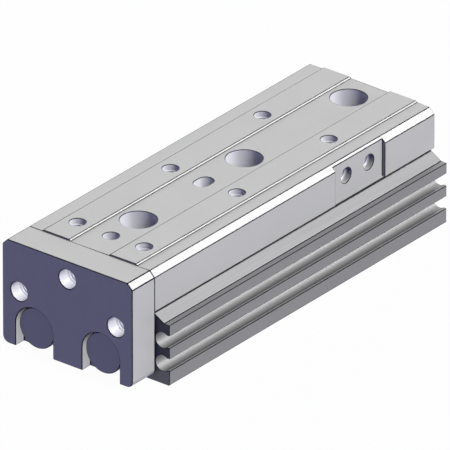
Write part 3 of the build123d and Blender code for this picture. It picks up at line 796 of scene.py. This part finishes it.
@dataclass
class SlidingTable(SubAssembly):
    """The milled table with its end plate and every tapped hole in both; lengths in millimetres.

    Attributes:
        load_hole: Diameter of the holes in the top.
        load_pitch: Thread pitch of the holes in the top and on the side.
        load_depth: Depth of the threads in the top.
        load_rows: Distances of their rows from the table's front.
        load_spacing: Distance between their two columns.
        side_hole: Diameter of the holes on the right side.
        side_depth: Depth of their threads.
        side_spacing: Distance between them.
        side_drop: How far they lie below the top.
        side_flat_depth: Depth of the milled flat round them.
        plate_hole: Diameter of the end plate's holes.
        plate_pitch: Pitch of their threads.
        plate_drop: How far the middle one lies below the plate's top.
        plate_side_drop: How far the other two lie below it.
        plate_side_inset: Their distance from the plate's sides.
        plate_mouth: Smooth length at the rear of the end plate's holes.
        plate_entry: Smooth length at their front.
        web: Thickness of the web between the skirts.
        bore_inset: Distance from a piece's outside within which nothing is a hole's wall.
        skirt: Thickness of the skirts.
        lip_gap: Clearance between a lip and the body.
        lip_cover: How far a lip reaches up into its skirt.
        lip_inset: How far a lip's ends and inner side lie inside its skirt.
        proud: How far a lip stands out of the milled flat.
    """

    load_hole: float = 4.0
    load_pitch: float = 0.7
    load_depth: float = 6.2
    load_rows: tuple[float, ...] = (8.0, 43.0, 78.0)
    load_spacing: float = 20.0
    side_hole: float = 4.0
    side_depth: float = 6.0
    side_spacing: float = 8.7
    side_drop: float = 5.15
    side_flat_depth: float = 0.9
    plate_hole: float = 5.0
    plate_pitch: float = 0.8
    plate_drop: float = 4.75
    plate_side_drop: float = 12.75
    plate_side_inset: float = 5.0
    plate_mouth: float = 0.3
    plate_entry: float = 3.2
    web: float = 6.0
    bore_inset: float = 2.0
    skirt: float = 3.5
    lip_gap: float = 0.09
    lip_cover: float = 0.2
    lip_inset: float = 0.3
    proud: float = 0.004

    NARROW_SHARE = 0.75  # so that the dark lines beside the pads' low walls show
    SQUARE = 0.1  # a wall's normal has less than this share along its hole
    ALONG_Y, ALONG_Z = 1, 2  # axes of holes

    def build(self) -> None:
        """Makes the table, the end plate, their screws, the threads and the lips."""
        self.break_edges("end_plate_screws", BLACK_OXIDE)
        table = self.break_edges("table", MILLED_ALUMINIUM, Edge.MACHINED, PAINTED_EDGE_SHADE)
        low, high = (np.array(corner) / mm(1.0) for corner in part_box("table"))
        inset = np.array([self.bore_inset, self.bore_inset, 0.0])
        web_low = np.array([low[0], low[1], high[2] - self.web])
        self.brighten_bores(table, self.ALONG_Z, web_low + inset, high - inset)
        self.tap_table(low, high)
        self.tap_end_plate()
        self.add_lips(low, high)

    def tap_table(self, low: np.ndarray, high: np.ndarray) -> None:
        """Makes the threads in the table's top and in the flat on its right side.

        Args:
            low: Low corner of the table, in millimetres.
            high: High corner of the table, in millimetres.
        """
        for row, y in enumerate(self.load_rows):
            for side in Side:
                hole = TappedHole(
                    f"load_thread_{side.word}_{row + 1}",
                    (side.value * self.load_spacing / 2, low[1] + y, high[2]), (0, 0, -1),
                    self.load_hole, self.load_pitch, self.load_depth)
                self.add_piece(hole, "table", TAPPED_AND_LIT_ALUMINIUM)
        x, z = high[0] - self.side_flat_depth, high[2] - self.side_drop
        for number, step in enumerate((-0.5, 0.5)):
            y = low[1] + self.load_rows[-1] + step * self.side_spacing
            hole = TappedHole(f"side_thread_{number + 1}", (x, y, z), (-1, 0, 0), self.side_hole,
                              self.load_pitch, self.side_depth)
            self.add_piece(hole, "table", TAPPED_AND_LIT_ALUMINIUM)

    def add_lips(self, low: np.ndarray, high: np.ndarray) -> None:
        """Makes a lip under each skirt, which closes the gap to the body behind its outer edge.

        Args:
            low: Low corner of the table, in millimetres.
            high: High corner of the table, in millimetres.
        """
        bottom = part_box("body")[1].z / mm(1.0) + self.lip_gap
        outer = high[0] - self.side_flat_depth + self.proud
        inner = high[0] - self.skirt + self.lip_inset
        for side in Side:
            near, far = sorted((side.value * inner, side.value * outer))
            lip = Strip(f"skirt_lip_{side.word}", (near, low[1] + self.lip_inset, bottom),
                        (far, high[1] - self.lip_inset, low[2] + self.lip_cover))
            self.add_piece(lip, "table", MILLED_ALUMINIUM)

    def brighten_bores(self, piece: bpy.types.Object, axis: int, low: np.ndarray,
                       high: np.ndarray) -> None:
        """Gives a piece's hole walls the bored finish, with light painted on as a paler colour.

        They are the faces whose normal is square to the holes' axis and whose middle lies in a box.

        Args:
            piece: The piece with its edges broken.
            axis: Number of the holes' axis.
            low: Low corner of the box, in millimetres.
            high: High corner of the box, in millimetres.
        """
        mesh = piece.data
        mesh.materials.append(BORED_AND_LIT_ALUMINIUM.material())
        count = len(mesh.polygons)
        normals, middles = np.empty(count * 3), np.empty(count * 3)
        finishes = np.empty(count, np.int32)
        mesh.polygons.foreach_get("normal", normals)
        mesh.polygons.foreach_get("center", middles)
        mesh.polygons.foreach_get("material_index", finishes)
        middles = middles.reshape(-1, 3) / mm(1.0)
        walls = (np.abs(normals[axis::3]) < self.SQUARE) & (finishes == 0)
        walls &= np.all((middles > low) & (middles < high), axis=1)
        finishes[walls] = len(mesh.materials) - 1
        mesh.polygons.foreach_set("material_index", finishes)

    def tap_end_plate(self) -> None:
        """Makes the end plate and the threads of its three through holes."""
        low, high = (np.array(corner) / mm(1.0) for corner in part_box("end_plate"))
        plate = self.break_edges("end_plate", MILLED_ALUMINIUM, Edge.FRONT, PAINTED_EDGE_SHADE)
        lowest = high[2] - self.plate_side_drop - self.plate_hole / 2
        inner = np.array([low[0] + self.bore_inset, low[1], lowest])
        inset = np.array([self.bore_inset, 0.0, self.bore_inset])
        self.brighten_bores(plate, self.ALONG_Y, inner, high - inset)
        across, level = high[0] - self.plate_side_inset, high[2] - self.plate_side_drop
        depth = high[1] - low[1] - self.plate_mouth
        places = {"middle": (0.0, high[2] - self.plate_drop), "left": (-across, level),
                  "right": (across, level)}
        for word, (x, z) in places.items():
            hole = TappedHole(f"plate_thread_{word}", (x, low[1], z), (0, 1, 0), self.plate_hole,
                              self.plate_pitch, depth, self.plate_entry)
            self.add_piece(hole, "table", TAPPED_AND_LIT_ALUMINIUM)


@dataclass
class Housing(SubAssembly):
    """The extruded body with its tapped holes, and what closes its bores; lengths in millimetres.

    Attributes:
        hole: Diameter of the air ports and of the mounting holes.
        pitch: Pitch of their threads.
        port_depth: Depth of the ports' threads.
        port_places: Distances of the ports from the end plate's front.
        mount_depth: Depth of the mounting holes' threads.
        mount_places: Distances of the mounting holes from the end plate's front.
    """

    hole: float = 5.0
    pitch: float = 0.8
    port_depth: float = 5.0
    port_places: tuple[float, ...] = (31.4, 100.1)
    mount_depth: float = 8.0
    mount_places: tuple[float, ...] = (26.8, 66.8, 106.8)

    def build(self) -> None:
        """Makes the body and its threads, covers, caps and retaining rings."""
        self.break_edges("body", EXTRUDED_ALUMINIUM, Edge.MACHINED, PAINTED_BODY_EDGE_SHADE)
        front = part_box("end_plate")[0].y / mm(1.0)
        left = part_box("body")[0].x / mm(1.0)
        holes = [
            TappedHole(f"port_thread_{number + 1}", (left, front + y, BORE_HEIGHT), (1, 0, 0),
                       self.hole, self.pitch, self.port_depth)
            for number, y in enumerate(self.port_places)]
        holes += [
            TappedHole(f"mount_thread_{number + 1}", (0.0, front + y, 0.0), (0, 0, 1),
                       self.hole, self.pitch, self.mount_depth)
            for number, y in enumerate(self.mount_places)]
        for hole in holes:
            self.add_piece(hole, "housing", TAPPED_BODY)
        for side in Side:
            for part in ("rod_cover", "head_cap"):
                self.break_edges(f"{part}_{side.word}", turned_aluminium(side))
            for end in ("front", "rear"):
                self.break_edges(f"{end}_ring_{side.word}", SPRING_STEEL)
            for seal in ("rod_seal", "cover_seal", "head_cap_seal"):
                self.dress(f"{seal}_{side.word}", NITRILE)
            for bumper in ("rod_bumper", "head_bumper"):
                self.dress(f"{bumper}_{side.word}", POLYURETHANE)


@dataclass
class Guide(SubAssembly):
    """The cross-roller guide: rails, cages, rollers, stops and screws."""

    def build(self) -> None:
        """Makes the rails and stops with their screws and dresses what runs between them."""
        self.screw_down("centre_rail", "centre_rail_screws")
        self.screw_down("front_cage_stop", "front_stop_screws")
        for side in Side:
            self.screw_down(f"table_rail_{side.word}", f"table_rail_screws_{side.word}")
            self.screw_down(f"rear_cage_stop_{side.word}", f"rear_stop_screw_{side.word}")
            self.dress(f"roller_cage_{side.word}", CAGE_STRIP)
            self.dress(f"rollers_{side.word}", LAPPED_STEEL)

    def screw_down(self, part: str, screws: str) -> None:
        """Makes a ground steel node and the node of the black screws that hold it."""
        self.break_edges(part, GROUND_STEEL)
        self.break_edges(screws, BLACK_OXIDE)


@dataclass
class MovingCylinderParts(SubAssembly):
    """Rods, pistons and floating rod ends, which travel with the table."""

    def build(self) -> None:
        """Makes both rods and rod ends and dresses the pistons."""
        for side in Side:
            word = side.word
            self.break_edges(f"floating_nut_{word}", FLAKE_COATED_STEEL, Edge.FRONT, PAINTED_EDGE_SHADE)
            self.break_edges(f"thrust_collar_{word}", FLAKE_COATED_STEEL, Edge.FINE, PAINTED_EDGE_SHADE)
            self.break_edges(f"piston_rod_{word}", CHROMED_ROD)
            self.dress(f"piston_{word}", turned_aluminium(side))
            self.dress(f"piston_seal_{word}", NITRILE)
            self.dress(f"wear_ring_{word}", ACETAL)
            self.dress(f"piston_magnet_{word}", BONDED_FERRITE)


@dataclass(frozen=True)
class Lamp:
    """A far lamp, whose light comes from one direction.

    Attributes:
        name: Name of the lamp.
        toward: Direction from the object to the lamp.
        strength: Strength of its light.
        angle: Width of the lamp as the object sees it, in degrees.
        shades: Whether the object throws a shadow in its light. If not, its light isn't bounced.
        tint: Colour of its light, sRGB hex.
    """

    name: str
    toward: Triple
    strength: float
    angle: float
    shades: bool = True
    tint: str = WHITE

    def build(self) -> None:
        """Hangs the lamp."""
        light = bpy.data.lights.new(self.name, "SUN")
        light.energy = self.strength
        light.angle = math.radians(self.angle)
        light.color = linear(self.tint)[:3]
        if not self.shades:
            light.use_shadow = False
            light.cycles.max_bounces = 0
        made = new_object(self.name, light)
        made.rotation_mode = "QUATERNION"
        made.rotation_quaternion = Vector(self.toward).to_track_quat("Z", "Y")


# The key lamp reaches into every hole, and a wider one in the same place gives the shadows. The
# slopes between top and right side mirror the gleam lamp to the camera. The last two light the far
# side and the front, which the others don't reach.
LAMPS = (
    Lamp("key_lamp", (0.755, 0.0, 0.656), 1.81, 12.0, shades=False),
    Lamp("shading_lamp", (0.755, 0.0, 0.656), 0.5, 30.0),
    Lamp("gleam_lamp", (0.463, 0.695, 0.550), 1.85, 12.0, shades=False),
    Lamp("fill_lamp", (-0.9, 0.4, 0.1), 1.0, 60.0),
    Lamp("front_lamp", (0.0, -1.0, 0.1), 0.5, 40.0, tint="#A9A9DB"))


@dataclass
class Studio:
    """Camera, lamps, world and floor.

    Attributes:
        azimuth: Camera's turn from the front towards the right, in degrees.
        elevation: Camera's height above the horizon, in degrees.
        lens: Focal length, in millimetres, long enough to look almost parallel.
        distance: From the camera to the point that it aims at, in millimetres.
        aim: That point, in millimetres.
        shade: Colour of the light in the shade, sRGB hex.
        shade_strength: Strength of that light.
        uplight: Colour of the light that the floor throws up, sRGB hex.
        floor_half: Half the floor's side, in millimetres.
        floor_drop: How far the floor lies below the object, in millimetres.
        shadow_share: Share of the floor's look that takes the object's shadow.
    """

    azimuth: float = 38.384
    elevation: float = 27.572
    lens: float = 1700.0
    distance: float = 5017.6
    aim: Triple = (0.80, 0.97, 15.00)
    shade: str = "#6B6BA3"
    shade_strength: float = 0.27
    uplight: str = "#32327C"
    floor_half: float = 1500.0
    floor_drop: float = 0.05
    shadow_share: float = 0.1

    def build(self) -> None:
        """Sets up the whole studio."""
        bpy.context.scene.view_settings.view_transform = "Standard"
        self.make_camera()
        for lamp in LAMPS:
            lamp.build()
        self.make_world()
        self.make_floor()

    def make_camera(self) -> None:
        """Camera at the photograph's viewing angle."""
        turn, rise = math.radians(self.azimuth), math.radians(self.elevation)
        level = math.cos(rise)
        back = Vector((math.sin(turn) * level, -math.cos(turn) * level, math.sin(rise)))
        camera = new_object("camera", bpy.data.cameras.new("camera"))
        camera.data.lens = self.lens
        camera.data.clip_end = 2 * mm(self.distance)
        camera.location = Vector(self.aim) * mm(1.0) + back * mm(self.distance)
        camera.rotation_mode = "QUATERNION"
        camera.rotation_quaternion = (-back).to_track_quat("-Z", "Y")
        bpy.context.scene.camera = camera

    def seen_directly(self, tree: Tree) -> Socket:
        """Tells what is looked at from what only lights the object.

        Args:
            tree: Node tree of the world or of a material.

        Returns:
            1 for rays from the camera or off a glossy or clear surface, and 0 for all others.
        """
        path = add(tree, "ShaderNodeLightPath")
        shiny = add(tree, "ShaderNodeMath", {"operation": "MAXIMUM"}, {
            0: path.outputs["Is Glossy Ray"], 1: path.outputs["Is Transmission Ray"]})
        return add(tree, "ShaderNodeMath", {"operation": "MAXIMUM"}, {
            0: shiny.outputs[0], 1: path.outputs["Is Camera Ray"]}).outputs[0]

    def make_world(self) -> None:
        """White to look at, and a dim blue-grey as the light in the shade."""
        world = bpy.data.worlds.new("studio")
        bpy.context.scene.world = world
        tree = fresh_tree(world)
        shade = add(tree, "ShaderNodeBackground", inputs={
            "Color": linear(self.shade), "Strength": self.shade_strength})
        white = add(tree, "ShaderNodeBackground", inputs={"Color": linear(WHITE), "Strength": 1.0})
        mix = add(tree, "ShaderNodeMixShader", inputs={
            0: self.seen_directly(tree), 1: shade.outputs[0], 2: white.outputs[0]})
        add(tree, "ShaderNodeOutputWorld", inputs={"Surface": mix.outputs[0]})

    def make_floor(self) -> None:
        """Plain white floor that keeps a faint shadow and throws a dim blue light up."""
        half, drop = self.floor_half, self.floor_drop
        corners = np.array([
            (-half, -half, -drop), (half, -half, -drop), (half, half, -drop), (-half, half, -drop)])
        mesh = bpy.data.meshes.new("floor")
        mesh.from_pydata(corners * mm(1.0), [], [(0, 1, 2, 3)])
        floor = new_object("floor", mesh)
        paint = bpy.data.materials.new("pale_floor")
        tree = fresh_tree(paint)
        dim = add(tree, "ShaderNodeEmission", inputs={
            "Color": linear(self.uplight), "Strength": 1.0})
        white = add(tree, "ShaderNodeEmission", inputs={"Color": linear(WHITE), "Strength": 1.0})
        shadowed = add(tree, "ShaderNodeBsdfDiffuse", inputs={"Color": linear(WHITE)})
        seen = add(tree, "ShaderNodeMixShader", inputs={
            0: self.shadow_share, 1: white.outputs[0], 2: shadowed.outputs[0]})
        mix = add(tree, "ShaderNodeMixShader", inputs={
            0: self.seen_directly(tree), 1: dim.outputs[0], 2: seen.outputs[0]})
        add(tree, "ShaderNodeOutputMaterial", inputs={"Surface": mix.outputs[0]})
        mesh.materials.append(paint)


def main() -> None:
    """Builds every sub-assembly and the studio round them."""
    logging.basicConfig(level=logging.INFO, format="%(name)s: %(message)s")
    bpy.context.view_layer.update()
    for part in (Housing(), Guide(), MovingCylinderParts(), SlidingTable()):
        part.build()
        LOG.info("%s: %d pieces", type(part).__name__, len(part.made))
    Studio().build()


if __name__ == "__main__":
    main()
